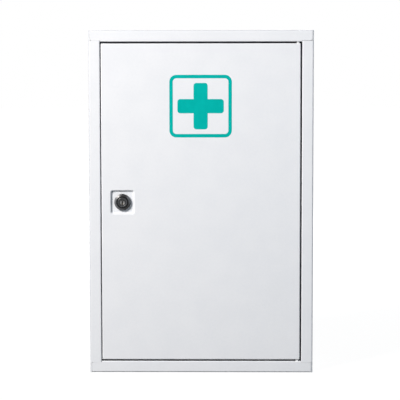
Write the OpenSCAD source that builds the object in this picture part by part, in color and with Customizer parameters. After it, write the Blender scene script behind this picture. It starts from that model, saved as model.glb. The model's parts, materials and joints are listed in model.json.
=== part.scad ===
/* [Cabinet] */
// Width of the cabinet
cab_w = 300; // [260:10:400]
// Height of the cabinet
cab_h = 460; // [400:10:600]
// Depth of the cabinet, from the wall to the front frame
cab_d = 140; // [120:5:180]

/* [Sheet metal] */
// Thickness of the steel sheet
sheet_t = 1; // [0.8:0.1:1.2]
// Inside radius of the ordinary bends
bend_r = 1; // [0.8:0.1:1.2]
// Inside radius of the tight bends, along the door's edges and round its opening
tight_r = 0.3; // [0.2:0.1:0.8]

/* [Front frame] */
// Width of the frame round the door
frame_w = 15.3; // [14:0.1:25]
// Depth of the lip that turns in from the frame
lip_d = 19; // [18.5:0.5:24]
// Width of the stop behind the lip on the lock side
stop_w = 10; // [8:0.5:12]
// Open seam between the top frame and the right side frame
seam = 0.4; // [0.2:0.1:0.8]
// Seams at the other three corners of the frame, which are drawn tight
seam_tight = 0.1; // [0.05:0.05:0.4]
// Radius of the corners of the top and bottom frames beside those seams
seam_corner = 1.5; // [0.5:0.5:2.5]
// Width of the flanges that carry the back panel
rear_flange = 12; // [10:1:20]

/* [Door] */
// Depth of the folded door
door_d = 16; // [15.5:0.5:17]
// Gap beside the door on the lock side
gap_lock = 1.2; // [1:0.1:2]
// Gap beside the door on the pivot side
gap_pivot = 2; // [1.6:0.1:2.5]
// Gap above and below the door
gap_end = 2.2; // [1.4:0.1:2.4]
// Width of the door's rear hem
hem_w = 9; // [7:0.5:10]

/* [Pivots] */
// Diameter of the pivot pins
pin_d = 2.5; // [2:0.1:2.6]
// From the door's edge to the pivot axis
pivot_in = 3.5; // [3.4:0.1:3.6]
// From the front of the frame to the pivot axis
pivot_back = 3.6; // [3.5:0.1:4]
// Radial clearance between a pin and its hole in the door
pin_clear = 0.05; // [0.02:0.01:0.1]

/* [Lock] */
// From the cabinet's side to the lock's axis
lock_in = 44.6; // [42:0.1:50]
// Height of the lock's axis above the middle of the door
lock_up = 0.7; // [-2:0.1:2]
// Side of the square dish that the lock stands in
dish_w = 32; // [28:0.5:36]
// Depth of the dish
dish_d = 3; // [2:0.5:3.5]
// Diameter of the lock's bezel
bezel_d = 22; // [20:0.5:25]
// Height of the bezel above the floor of the dish
bezel_h = 4; // [3:0.5:5]
// How far the plug's head stands out of the bezel
head_out = 3; // [0.5:0.5:4]
// Diameter of the threaded barrel
barrel_d = 18; // [16:0.5:19]
// Distance across the barrel's two flats
barrel_flats = 16; // [14:0.5:17]
// Diameter of the plug that turns
plug_d = 12; // [11:0.5:12.5]
// Length of the cam from the lock's axis to its tip
cam_len = 34; // [32:0.5:36]
// Width of the cam
cam_w = 12; // [10:0.5:14]

/* [Shelves] */
// Height of each shelf above or below the middle of the cabinet
shelf_z = 76; // [60:2:90]
// Depth of the shelves
shelf_d = 105; // [90:1:105]
// Height of the turned-down shelf edges
shelf_edge = 12; // [10:1:16]
// Width and height of the angle rails under the shelves
rail_w = 10; // [8:1:12]

/* [Wall mounting] */
// Distance between the wall holes, side to side
hole_dx = 220; // [160:10:240]
// Distance between the wall holes, up and down
hole_dz = 380; // [300:10:400]
// Diameter of the wall holes
hole_d = 7; // [5:0.5:8]

/* [Hidden] */
$fn = 48;

// X runs to the right and the front faces -Y. The wall is the plane y = 0, and the origin is
// the middle of the wall holes.
outer_r = bend_r + sheet_t;
edge_r = tight_r + sheet_t;
front_y = -cab_d;
half_w = cab_w / 2;
half_h = cab_h / 2;
web_back = -sheet_t;
open_x = half_w - frame_w;
open_z = half_h - frame_w;
lip_back = front_y + lip_d;
frame_flat = frame_w - outer_r - edge_r;
// The top and bottom frames run over the ends of the side frames along this line.
seam_z = open_z + edge_r + 0.4;
front_half_w = half_w - outer_r - 0.3;
web_half_w = half_w - sheet_t;
tab_inset = 22;
tab_h = 10;
relief = 1;

// Door
door_left = -open_x + gap_lock;
door_right = open_x - gap_pivot;
door_w = door_right - door_left;
door_x = (door_left + door_right) / 2;
door_h = 2 * (open_z - gap_end);
door_back = front_y + door_d;
door_top = door_h / 2;
pivot_x = door_right - pivot_in;
pivot_y = front_y + pivot_back;
pin_r = pin_d / 2;
bracket_t = 2;
pin_tip_z = door_top - sheet_t - bracket_t - 0.5;
pin_head_r = pivot_back - outer_r;
pin_head_h = 1;
washer_r = 2;
washer_gap = 0.05;
bracket_w = 17.5;
bracket_leg = 20;
bracket_depth = 11.8;

// Stop and its rubber buffers
stop_front = lip_back - sheet_t;
buffer_x = -open_x + stop_w / 2 - 0.5;
buffer_z = 150;
buffer_r = 3.5;
buffer_h = stop_front - door_back - 0.1;

// Lock, along its own axis with +z running back from the face of the dish
lock_x = -half_w + lock_in;
dish_floor = front_y + dish_d;
dish_slope = 2.5;
dish_r = 3;
bezel_r = bezel_d / 2;
barrel_r = barrel_d / 2;
plug_r = plug_d / 2;
turn_clear = 0.05;
head_r = plug_r + 0.7;
head_back = 1.4;
face_z = -bezel_h - head_out;
barrel_len = 16;
lock_washer_t = 1;
nut_t = 3.5;
nut_af = 22;
cam_t = 2;
cam_front = barrel_len + 0.5;
cam_back = cam_front + cam_t;
shank_af = 7;
shank_r = 4.6;
key_w = 1.8;
key_h = 6.4;
key_back = 9.4;
boss_w = 6.2;
boss_h = 7.8;
wafer_t = 0.8;
wafer_w = 4.6;
wafer_h = 10.6;
wafer_count = 5;
wafer_first = 1.2;
wafer_pitch = 1.8;
screw_r = 1.5;
screw_head_r = 3.4;
screw_head_h = 2.2;
screw_len = 8;
cam_washer_t = 0.8;
cam_washer_r = 4.2;

// Shelves
shelf_back = -3 * sheet_t;
shelf_half_w = half_w - sheet_t - 0.5;
shelf_return = 5;
rail_gap = 7;

// One quarter bend, of inside radius bend to the left of the way the strip runs, or of inside
// radius -bend to the right
module quarter_bend(bend) {
    r = abs(bend);
    translate([0, bend > 0 ? sheet_t + r : -r])
        intersection() {
            difference() {
                circle(r + sheet_t);
                circle(r);
            }
            translate([0, bend > 0 ? -r - sheet_t : 0]) square(r + sheet_t);
        }
}

// Section of a bent sheet: flats joined by quarter bends
module folded(flats, bends, i = 0) {
    square([flats[i], sheet_t]);
    if (i < len(bends)) {
        r = abs(bends[i]);
        translate([flats[i], 0]) quarter_bend(bends[i]);
        translate([flats[i] + (bends[i] > 0 ? r + sheet_t : r), bends[i] > 0 ? r + sheet_t : -r])
            rotate(90 * sign(bends[i]))
                folded(flats, bends, i + 1);
    }
}

// Section of the cabinet's wall, from its rear flange to its lip, with x = 0 on the outside
module wall_section(lip_flats, lip_bends) {
    rear_flat = rear_flange - outer_r;
    web_flat = cab_d + web_back - 2 * outer_r;
    translate([rear_flange, web_back])
        rotate(180)
            folded(
                concat([rear_flat, web_flat, frame_flat], lip_flats),
                concat([bend_r, bend_r, tight_r], lip_bends)
            );
}

module rounded_rect(w, h, r) {
    square([w - 2 * r, h], center = true);
    square([w, h - 2 * r], center = true);
    for (x = [-1, 1], y = [-1, 1])
        translate([x * (w / 2 - r), y * (h / 2 - r)]) circle(r);
}

// Block with every edge rounded: its three rounded sections crossed with each other
module rounded_block(w, d, h, r) {
    intersection() {
        linear_extrude(height = h + 1, center = true) rounded_rect(w, d, r);
        rotate([90, 0, 0]) linear_extrude(height = d + 1, center = true) rounded_rect(w, h, r);
        rotate([90, 0, 90]) linear_extrude(height = w + 1, center = true) rounded_rect(d, h, r);
    }
}

// Side panel on the left, before its stop is added: the frame and lip end at the seam, and
// the outer bend runs on to the corner
module side_panel(lip_flats, lip_bends, top_seam) {
    difference() {
        translate([-half_w, 0, 0])
            linear_extrude(height = cab_h, center = true) wall_section(lip_flats, lip_bends);
        for (side = [-1, 1]) {
            frame_end = seam_z - (side > 0 ? top_seam : seam_tight);
            translate([-half_w + outer_r + 0.1, front_y - 1, side > 0 ? frame_end : -half_h - 1])
                cube([frame_w + stop_w + 5, lip_d + 2, half_h - frame_end + 1]);
            translate([-open_x + 0.1, lip_back - outer_r, side > 0 ? open_z - 0.3 : -half_h])
                cube([stop_w + 5, outer_r + 1, half_h - open_z + 0.3]);
        }
    }
}

module side_panel_left() {
    color("ghostwhite")
        side_panel([lip_d - edge_r - outer_r, stop_w - outer_r], [-bend_r], seam_tight);
}

module side_panel_right() {
    color("ghostwhite")
        mirror([1, 0, 0]) side_panel([lip_d - edge_r], [], seam);
}

// Top panel: the wall section laid across, with its flanges cut back at the corners, tabs
// that are welded inside the side panels, and the hole that holds the pivot pin
module end_panel() {
    tab_len = cab_d - 2 * tab_inset;
    cut = 20;
    difference() {
        translate([0, 0, half_h])
            rotate([0, 90, 0])
                linear_extrude(height = 2 * web_half_w, center = true)
                    wall_section([lip_d - edge_r], []);
        for (side = [-1, 1]) {
            // end of the front flange, beside the bend of the side panel
            translate([side * (front_half_w + cut / 2), front_y + outer_r / 2 - 0.45, half_h - frame_w / 2])
                cube([cut, outer_r + 1.1, frame_w + 2], center = true);
            // end of the lip and its bend, over the end of the side frame
            translate([side * (open_x - 0.2 + cut / 2), front_y + lip_d / 2, open_z])
                cube([cut, lip_d + 2, 2 * (seam_z - open_z)], center = true);
            // rounded corner of the front flange
            mirror([side > 0 ? 0 : 1, 0, 0])
                translate([front_half_w - seam_corner, front_y + outer_r, seam_z + seam_corner])
                    rotate([90, 0, 0])
                        linear_extrude(height = outer_r + 1)
                            difference() {
                                translate([0, -seam_corner - 0.1]) square(seam_corner + 0.1);
                                circle(seam_corner);
                            }
            // end of the rear flange, beside the rear flange of the side panel
            translate([side * (half_w - rear_flange - 0.5 + cut / 2), web_back, half_h - rear_flange / 2])
                cube([cut, 2 * outer_r, rear_flange + 2], center = true);
            // place of the welded tab
            translate([side * (web_half_w - outer_r + 2), -cab_d / 2, half_h - sheet_t / 2])
                cube([4, tab_len + 2 * relief, sheet_t + 1], center = true);
        }
        translate([pivot_x, pivot_y, open_z - 1]) cylinder(r = pin_r, h = sheet_t + 2);
    }
    for (side = [0, 1])
        mirror([side, 0, 0])
            translate([web_half_w - outer_r - 4, -cab_d / 2, half_h])
                rotate([90, 0, 0])
                    linear_extrude(height = tab_len, center = true)
                        mirror([0, 1]) folded([4, tab_h - outer_r], [bend_r]);
}

module top_panel() {
    color("ghostwhite") end_panel();
}

module bottom_panel() {
    color("ghostwhite") mirror([0, 0, 1]) end_panel();
}

module back_panel() {
    color("ghostwhite")
        difference() {
            translate([0, -sheet_t / 2, 0])
                cube([cab_w - 2 * sheet_t, sheet_t, cab_h - 2 * sheet_t], center = true);
            for (x = [-1, 1], z = [-1, 1])
                translate([x * hole_dx / 2, 1, z * hole_dz / 2])
                    rotate([90, 0, 0]) cylinder(d = hole_d, h = sheet_t + 2);
        }
}

// Angle rail under one side of a shelf whose top is at z
module shelf_rail(side, z) {
    color("ghostwhite")
        mirror([side > 0 ? 1 : 0, 0, 0])
            translate([-half_w + sheet_t + rail_w, shelf_back - shelf_d / 2, z - sheet_t])
                rotate([90, 0, 0])
                    linear_extrude(height = shelf_d - 2 * rail_gap, center = true)
                        rotate(180) folded([rail_w - outer_r, rail_w - outer_r], [bend_r]);
}

module shelf_rail_upper_left() {
    shelf_rail(-1, shelf_z);
}

module shelf_rail_upper_right() {
    shelf_rail(1, shelf_z);
}

module shelf_rail_lower_left() {
    shelf_rail(-1, -shelf_z);
}

module shelf_rail_lower_right() {
    shelf_rail(1, -shelf_z);
}

// Shelf with its front and rear edges turned down, and the front edge turned back under
module shelf(z) {
    color("ghostwhite")
        translate([0, shelf_back, z])
            rotate([0, 90, 0])
                linear_extrude(height = 2 * shelf_half_w, center = true)
                    translate([shelf_edge, 0])
                        rotate(180)
                            folded(
                                [
                                    shelf_edge - outer_r,
                                    shelf_d - 2 * outer_r,
                                    shelf_edge - 2 * outer_r,
                                    shelf_return - outer_r
                                ],
                                [bend_r, bend_r, bend_r]
                            );
}

module shelf_upper() {
    shelf(shelf_z);
}

module shelf_lower() {
    shelf(-shelf_z);
}

// Headed pin that hangs in the frame's upper lip and reaches down into the door
module pivot_pin() {
    color("lightgrey")
        translate([pivot_x, pivot_y, 0]) {
            translate([0, 0, pin_tip_z + 0.4]) cylinder(r = pin_r, h = open_z + sheet_t - pin_tip_z - 0.4);
            translate([0, 0, pin_tip_z]) cylinder(r1 = pin_r - 0.4, r2 = pin_r, h = 0.4);
            translate([0, 0, open_z + sheet_t]) cylinder(r = pin_head_r, h = pin_head_h);
        }
}

module pivot_pin_top() {
    pivot_pin();
}

module pivot_pin_bottom() {
    mirror([0, 0, 1]) pivot_pin();
}

module pivot_washer() {
    color("white")
        translate([pivot_x, pivot_y, door_top + washer_gap])
            difference() {
                cylinder(r = washer_r, h = gap_end - washer_gap);
                translate([0, 0, -1]) cylinder(r = pin_r + pin_clear, h = gap_end + 2);
            }
}

module pivot_washer_top() {
    pivot_washer();
}

module pivot_washer_bottom() {
    mirror([0, 0, 1]) pivot_washer();
}

module door_buffers() {
    dome_r = buffer_r - 0.8;
    color("dimgrey")
        for (side = [-1, 1])
            translate([buffer_x, stop_front, side * buffer_z])
                rotate([90, 0, 0])
                    union() {
                        cylinder(r = buffer_r, h = buffer_h - 0.8);
                        translate([0, 0, buffer_h - 0.8]) cylinder(r1 = buffer_r, r2 = dome_r, h = 0.8);
                    }
}

// Square plate with rounded corners, in the plane of the door, between two depths
module dish_plate(w, y_front, y_back) {
    translate([lock_x, y_back, lock_up])
        rotate([90, 0, 0])
            linear_extrude(height = y_back - y_front) rounded_rect(w, w, dish_r * w / dish_w);
}

// Form of the pressed dish: its mouth, its smaller floor and the sloping wall between them
module dish_form(w, mouth_y, floor_y) {
    skin = 0.01;
    hull() {
        dish_plate(w, mouth_y, mouth_y + skin);
        dish_plate(w - 2 * dish_slope, floor_y - skin, floor_y);
    }
}

// Barrel outline: a circle with two flats
module double_d(r, flats) {
    intersection() {
        circle(r);
        square([flats, 4 * r], center = true);
    }
}

// Places a lock part that is drawn along +z, with z = 0 on the floor of the dish
module on_lock_axis() {
    translate([lock_x, dish_floor, lock_up]) rotate([-90, 0, 0]) children();
}

module door_pan() {
    inner_y = (front_y + door_back) / 2;
    color("ghostwhite")
        difference() {
            union() {
                difference() {
                    translate([door_x, inner_y, 0]) rounded_block(door_w, door_d, door_h, edge_r);
                    translate([door_x, inner_y, 0])
                        rounded_block(door_w - 2 * sheet_t, door_d - 2 * sheet_t, door_h - 2 * sheet_t, tight_r);
                    translate([door_x, door_back, 0])
                        cube([door_w - 2 * hem_w, 4 * sheet_t, door_h - 2 * hem_w], center = true);
                }
                dish_form(dish_w + 2 * sheet_t, front_y + sheet_t, dish_floor + sheet_t);
            }
            dish_form(dish_w, front_y - 0.005, dish_floor);
            on_lock_axis()
                linear_extrude(height = 10, center = true) double_d(barrel_r, barrel_flats);
            for (side = [-1, 1])
                translate([pivot_x, pivot_y, side * door_top])
                    cylinder(r = pin_r + pin_clear, h = 4, center = true);
        }
}

// Corner bracket inside the door: a thick plate bored for the pin, with a thin leg that is
// welded to the door's edge
module door_pivot_bracket() {
    top = door_top - sheet_t;
    right = door_right - sheet_t;
    clear = tight_r + 0.1;
    outline = [
        [right - bracket_w, top - bracket_t],
        [right - 1, top - bracket_t],
        [right - 1, top - bracket_leg],
        [right, top - bracket_leg],
        [right, top - clear],
        [right - clear, top],
        [right - bracket_w, top]
    ];
    color("silver")
        difference() {
            translate([0, front_y + outer_r + 0.1 + bracket_depth, 0])
                rotate([90, 0, 0]) linear_extrude(height = bracket_depth) polygon(outline);
            translate([pivot_x, pivot_y, top - bracket_t - 1])
                cylinder(r = pin_r + pin_clear, h = bracket_t + 2);
        }
}

module door_pivot_bracket_top() {
    door_pivot_bracket();
}

module door_pivot_bracket_bottom() {
    mirror([0, 0, 1]) door_pivot_bracket();
}

// Bezel and barrel: the bezel is one revolved section, with a wide chamfer up to a narrow rim
// and a lower face inside the rim
module lock_body() {
    bezel = [
        [0, 0],
        [bezel_r, 0],
        [bezel_r, -bezel_h + 1.6],
        [bezel_r - 0.25, -bezel_h + 1.35],
        [bezel_r - 2.5, -bezel_h + 0.15],
        [bezel_r - 2.8, -bezel_h],
        [bezel_r - 3.3, -bezel_h],
        [bezel_r - 3.9, -bezel_h + 0.7],
        [0, -bezel_h + 0.7]
    ];
    color("#26272b")
        on_lock_axis()
            difference() {
                union() {
                    rotate_extrude() polygon(bezel);
                    linear_extrude(height = barrel_len) double_d(barrel_r, barrel_flats);
                }
                translate([0, 0, -bezel_h - 1]) cylinder(r = plug_r + turn_clear, h = barrel_len + bezel_h + 2);
                translate([0, 0, -bezel_h - 1])
                    cylinder(r = head_r + turn_clear, h = bezel_h + 1 - head_back + turn_clear);
            }
}

module lock_washer() {
    color("silver")
        on_lock_axis()
            translate([0, 0, sheet_t])
                difference() {
                    cylinder(r = bezel_r + 1, h = lock_washer_t);
                    translate([0, 0, -1])
                        linear_extrude(height = lock_washer_t + 2) double_d(barrel_r, barrel_flats);
                }
}

module lock_nut() {
    color("silver")
        on_lock_axis()
            translate([0, 0, sheet_t + lock_washer_t])
                difference() {
                    intersection() {
                        cylinder(d = nut_af / cos(30), h = nut_t, $fn = 6);
                        cylinder(r1 = nut_af / 2 + 0.6, r2 = nut_af / 2 + 0.6 + nut_t, h = nut_t);
                    }
                    translate([0, 0, -1]) cylinder(r = barrel_r, h = nut_t + 2);
                }
}

module wafer_places() {
    for (i = [0 : wafer_count - 1])
        translate([0, 0, wafer_first + i * wafer_pitch]) children();
}

// Face boss of the plug: two half rounds and the flat between them
module boss_section() {
    offset_y = (boss_h - boss_w) / 2;
    for (side = [-1, 1])
        translate([0, side * offset_y]) circle(d = boss_w);
    square([boss_w, 2 * offset_y], center = true);
}

// Plug that the key turns, with its keyway, a cross slot for each wafer and a flatted shank
module lock_plug() {
    color("gainsboro")
        on_lock_axis()
            difference() {
                union() {
                    translate([0, 0, -head_back]) cylinder(r = plug_r, h = cam_front + head_back);
                    translate([0, 0, face_z]) linear_extrude(height = -head_back - face_z) boss_section();
                    intersection() {
                        cylinder(r = shank_r, h = cam_back);
                        translate([0, 0, cam_back / 2]) cube([shank_af, shank_af, cam_back], center = true);
                    }
                }
                translate([-key_w / 2, -key_h / 2, face_z - 1]) cube([key_w, key_h, key_back - face_z + 1]);
                wafer_places() cube([wafer_w, wafer_h, wafer_t], center = true);
                translate([0, 0, cam_back - screw_len]) cylinder(r = screw_r, h = screw_len + 1);
            }
}

// Black cap over the head of the plug, open where the boss shows
module plug_cap() {
    color("#1e1f22")
        on_lock_axis()
            difference() {
                union() {
                    translate([0, 0, face_z]) cylinder(r1 = head_r - 0.6, r2 = head_r, h = 0.6);
                    translate([0, 0, face_z + 0.6]) cylinder(r = head_r, h = -head_back - face_z - 0.6);
                }
                translate([0, 0, face_z - 1])
                    linear_extrude(height = -head_back - face_z + 2) boss_section();
            }
}

// Brass wafers, each a plate with a window for the key
module lock_wafers() {
    color("goldenrod")
        on_lock_axis()
            wafer_places()
                difference() {
                    cube([wafer_w, wafer_h, wafer_t], center = true);
                    cube([key_w + 0.4, key_h - 1.6, 2 * wafer_t], center = true);
                }
}

// Flat cam, hanging down at rest, with a round end at the tip and a square hole for the shank
module lock_cam() {
    tip_r = 3;
    color("silver")
        on_lock_axis()
            translate([0, 0, cam_front])
                linear_extrude(height = cam_t)
                    difference() {
                        union() {
                            circle(r = cam_w / 2 + 2);
                            translate([-cam_w / 2, 0]) square([cam_w, cam_len - tip_r]);
                            translate([-cam_w / 2 + tip_r, 0]) square([cam_w - 2 * tip_r, cam_len]);
                            for (side = [-1, 1])
                                translate([side * (cam_w / 2 - tip_r), cam_len - tip_r]) circle(r = tip_r);
                        }
                        intersection() {
                            circle(r = shank_r);
                            square(shank_af, center = true);
                        }
                    }
}

module cam_washer() {
    color("silver")
        on_lock_axis()
            translate([0, 0, cam_back])
                difference() {
                    cylinder(r = cam_washer_r, h = cam_washer_t);
                    translate([0, 0, -1]) cylinder(r = screw_r, h = cam_washer_t + 2);
                }
}

// Pan-head screw with a cross recess, in the end of the plug
module cam_screw() {
    head_z = cam_back + cam_washer_t;
    color("silver")
        on_lock_axis()
            difference() {
                union() {
                    translate([0, 0, cam_back - screw_len]) cylinder(r = screw_r, h = screw_len + cam_washer_t);
                    translate([0, 0, head_z]) cylinder(r = screw_head_r, h = screw_head_h - 0.8);
                    translate([0, 0, head_z + screw_head_h - 0.8])
                        cylinder(r1 = screw_head_r, r2 = screw_head_r - 0.9, h = 0.8);
                }
                for (turn = [0, 90])
                    rotate(turn)
                        translate([-2, -0.4, head_z + screw_head_h - 1.2]) cube([4, 0.8, 2]);
            }
}

side_panel_left();
side_panel_right();
top_panel();
bottom_panel();
back_panel();
shelf_rail_upper_left();
shelf_rail_upper_right();
shelf_rail_lower_left();
shelf_rail_lower_right();
shelf_upper();
shelf_lower();
pivot_pin_top();
pivot_pin_bottom();
pivot_washer_top();
pivot_washer_bottom();
door_buffers();
door_pan();
door_pivot_bracket_top();
door_pivot_bracket_bottom();
lock_body();
lock_washer();
lock_nut();
lock_plug();
plug_cap();
lock_wafers();
lock_cam();
cam_washer();
cam_screw();
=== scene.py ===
"""Looks of a lockable sheet-steel medicine cabinet: door, lock, printed sign, finishes and light.

Metres throughout. X runs to the cabinet's right, the front faces -Y, and Z is up.
"""
import json
import math
from collections import namedtuple

import bmesh
import bpy
from mathutils import Matrix, Vector


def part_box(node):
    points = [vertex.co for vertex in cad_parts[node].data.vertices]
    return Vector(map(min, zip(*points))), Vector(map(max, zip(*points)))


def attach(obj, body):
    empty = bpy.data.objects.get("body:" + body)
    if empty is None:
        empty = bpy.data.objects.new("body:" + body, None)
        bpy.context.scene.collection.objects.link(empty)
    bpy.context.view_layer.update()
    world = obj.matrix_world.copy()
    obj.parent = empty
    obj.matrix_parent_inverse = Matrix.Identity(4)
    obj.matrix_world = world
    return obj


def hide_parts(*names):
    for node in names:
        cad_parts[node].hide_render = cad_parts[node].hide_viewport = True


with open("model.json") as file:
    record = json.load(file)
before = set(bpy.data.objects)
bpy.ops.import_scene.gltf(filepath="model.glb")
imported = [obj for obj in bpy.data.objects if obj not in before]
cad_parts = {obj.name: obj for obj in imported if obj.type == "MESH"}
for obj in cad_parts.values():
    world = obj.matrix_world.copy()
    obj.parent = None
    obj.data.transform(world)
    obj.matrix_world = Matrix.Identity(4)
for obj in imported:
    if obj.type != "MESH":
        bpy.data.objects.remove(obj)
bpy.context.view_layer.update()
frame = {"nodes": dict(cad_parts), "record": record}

MM = 0.001
QUARTER_TURN = math.pi / 2
FACE_FRONT = (QUARTER_TURN, 0, 0)    # turns what is drawn along Z to lie along Y
SMOOTH_BELOW = math.radians(35)
CREASE_ABOVE = math.radians(20)
TURNED_SIDES = 72                    # sides of what is turned on a lathe
CLOSE = 0.01 * MM                    # nearer than this counts as in the same place

# ---------------------------------------------------------------- places taken from the frame
door_low, door_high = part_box("door_pan")
side_low, side_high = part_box("side_panel_left")
case_low, case_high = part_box("lock_body")
pin_low, pin_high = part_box("pivot_pin_top")

FRONT_Y = door_low.y
FLOOR_Z = side_low.z
PIVOT = (pin_low + pin_high) / 2
LOCK_X = (case_low.x + case_high.x) / 2
LOCK_Z = (case_low.z + case_high.z) / 2

# ---------------------------------------------------------------- sizes of the parts
SHEET = 1 * MM
BEND = 1.3 * MM              # outside radius of the door's bends
HEM = 9 * MM                 # width of the door's rear hem
DISH_SIDE = 32 * MM
DISH_DEPTH = 3 * MM
DISH_SLOPE = 1.8 * MM        # how far the dish's wall leans in
DISH_CORNER = 3 * MM
DISH_LIP = 0.7 * MM          # rounding where the wall leaves the door's face
DISH_FOOT = 0.6 * MM         # rounding where it meets the dish's floor
DISH_FLOOR_Y = FRONT_Y + DISH_DEPTH
BARREL_R = 9 * MM
BARREL_FLAT = 8 * MM         # from the axis to each flat
PLUG_R = 6 * MM
SHANK_R = 4.6 * MM
SHANK_FLAT = 3.5 * MM        # from the axis to each flat
PIN_HOLE_R = 1.3 * MM

# The lock's smaller forms, in mm
THREAD_START, THREAD_END, THREAD_PITCH = 1.5, 15.4, 1.0
THREAD_ROOT_R, THREAD_CREST_R = 8.45, 8.98
KEYWAY_MOUTH = (6.2, 6.6)    # width and height of the opening in the plug's head
KEYWAY_SLOT = (1.8, 4.9)     # width and height of the key's slot behind it
KEYWAY_DROP = 0.4            # how far the keyway lies below the lock's axis
WAFERS = 5
WAFER_FIRST, WAFER_PITCH = 1.2, 1.8
WAFER_SLOT_HALF = (2.3, 0.4, 5.3)

SIGN_X = -0.55 * MM
SIGN_Z = 129.2 * MM
SIGN_SIDE = 83.35 * MM
SIGN_CORNER = 9.4 * MM
SIGN_LINE = 4.6 * MM
CROSS_SPAN = 61.8 * MM
CROSS_ARM = 18.9 * MM
CROSS_CORNER = 3.8 * MM
INK = 0.06 * MM

SKY_BLUE = (0.58, 0.80, 1.0)    # light of the sky and of the small fill lamp


# ---------------------------------------------------------------- modelling by operators
def start_fresh():
    """Object mode with nothing selected, so that the next operator touches one piece only."""
    if bpy.context.object and bpy.context.object.mode != "OBJECT":
        bpy.ops.object.mode_set(mode="OBJECT")
    bpy.ops.object.select_all(action="DESELECT")


def choose(piece):
    """Makes the piece the only one selected."""
    start_fresh()
    bpy.context.view_layer.objects.active = piece
    piece.select_set(True)


def settle(piece):
    """Puts the piece's place, turn and size into its mesh."""
    choose(piece)
    bpy.ops.object.transform_apply(location=True, rotation=True, scale=True)
    return piece


def edit(piece):
    """Edit mode on one piece, with nothing selected."""
    choose(piece)
    bpy.ops.object.mode_set(mode="EDIT")
    bpy.ops.mesh.select_all(action="DESELECT")


def edit_whole(piece):
    """Edit mode on one piece, with all of it selected."""
    edit(piece)
    bpy.ops.mesh.select_all(action="SELECT")


def pick(piece, kind, test):
    """Selects the vertices, edges or faces for which test is true."""
    bpy.ops.mesh.select_mode(type={"verts": "VERT", "edges": "EDGE", "faces": "FACE"}[kind])
    bpy.ops.mesh.select_all(action="DESELECT")
    mesh = bmesh.from_edit_mesh(piece.data)
    for part in getattr(mesh, kind):
        if test(part):
            part.select_set(True)
    mesh.select_flush_mode()
    bmesh.update_edit_mesh(piece.data)


def apply_modifier(piece, kind, **settings):
    """Works a modifier into the piece's mesh."""
    choose(piece)
    modifier = piece.modifiers.new(kind.lower(), kind)
    for name, value in settings.items():
        setattr(modifier, name, value)
    bpy.ops.object.modifier_apply(modifier=modifier.name)


def cut(piece, cutter):
    """Takes the cutter's shape out of the piece, and throws the cutter away."""
    apply_modifier(piece, "BOOLEAN", operation="DIFFERENCE", solver="EXACT", object=cutter)
    bpy.data.objects.remove(cutter)


def join(piece, addition):
    """Makes the two shapes one skin."""
    apply_modifier(piece, "BOOLEAN", operation="UNION", solver="EXACT", object=addition)
    bpy.data.objects.remove(addition)


def tidy_shell(piece):
    """Merges doubles and turns the faces of a closed shell outwards."""
    edit_whole(piece)
    bpy.ops.mesh.remove_doubles(threshold=1e-6)
    bpy.ops.mesh.normals_make_consistent(inside=False)
    start_fresh()


def smooth(piece):
    """Smooth bends and bevels between flats that stay flat."""
    choose(piece)
    bpy.ops.object.shade_smooth_by_angle(angle=SMOOTH_BELOW)
    apply_modifier(piece, "WEIGHTED_NORMAL", keep_sharp=True, weight=100)


def hand_over(piece, name, body, slot, *nodes):
    """Names a finished piece, and says what it rides on, what it is finished in and stands for."""
    piece.name = name
    piece.data.name = name
    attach(piece, body)
    if nodes:
        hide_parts(*nodes)
    wear(piece, slot)


def slice_off(point, outward):
    """Cuts the piece in edit mode at a plane, and closes the cut."""
    bpy.ops.mesh.select_all(action="SELECT")
    bpy.ops.mesh.bisect(plane_co=point, plane_no=outward, clear_outer=True, use_fill=True)


def block(low, high):
    """Box between two corners."""
    start_fresh()
    bpy.ops.mesh.primitive_cube_add(size=1, location=(Vector(low) + Vector(high)) / 2)
    made = bpy.context.object
    made.scale = Vector(high) - Vector(low)
    return settle(made)


def rod(centre, radius, length, turn=(0, 0, 0), sides=64):
    """Cylinder along Z, or as it is turned."""
    start_fresh()
    bpy.ops.mesh.primitive_cylinder_add(
        vertices=sides, radius=radius, depth=length, location=centre, rotation=turn
    )
    return settle(bpy.context.object)


def lock_rod(depth, radius, length, sides=64):
    """Cylinder on the lock's axis, its middle at a depth behind the dish's floor."""
    return rod((LOCK_X, DISH_FLOOR_Y + depth, LOCK_Z), radius, length, FACE_FRONT, sides)


def upright_plate(centre, width, height, corner, segments):
    """Flat plate that faces the front, with rounded corners."""
    start_fresh()
    bpy.ops.mesh.primitive_plane_add(size=1, location=centre, rotation=FACE_FRONT)
    plate = bpy.context.object
    plate.scale = (width, height, 1)
    settle(plate)
    edit_whole(plate)
    bpy.ops.mesh.bevel(offset=corner, segments=segments, affect="VERTICES")
    start_fresh()
    return plate


def turned(profile):
    """Closed ring about the lock's axis: a circle pulled along a profile and joined to itself.

    The profile gives radii and depths behind the dish's floor, in mm.
    """
    stations = [(radius * MM, DISH_FLOOR_Y + depth * MM) for radius, depth in profile]
    centre = Vector((LOCK_X, 0, LOCK_Z))
    radius, depth = stations[0]
    start_fresh()
    bpy.ops.mesh.primitive_circle_add(
        vertices=TURNED_SIDES, radius=radius, fill_type="NOTHING",
        location=centre + Vector((0, depth, 0)), rotation=FACE_FRONT
    )
    ring = settle(bpy.context.object)
    edit_whole(ring)
    for next_radius, next_depth in [*stations[1:], stations[0]]:
        bpy.ops.mesh.extrude_edges_move(
            TRANSFORM_OT_translate={"value": (0, next_depth - depth, 0)}
        )
        ratio = next_radius / radius
        bpy.ops.transform.resize(value=(ratio, 1, ratio), center_override=centre)
        radius, depth = next_radius, next_depth
    tidy_shell(ring)
    return ring


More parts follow.
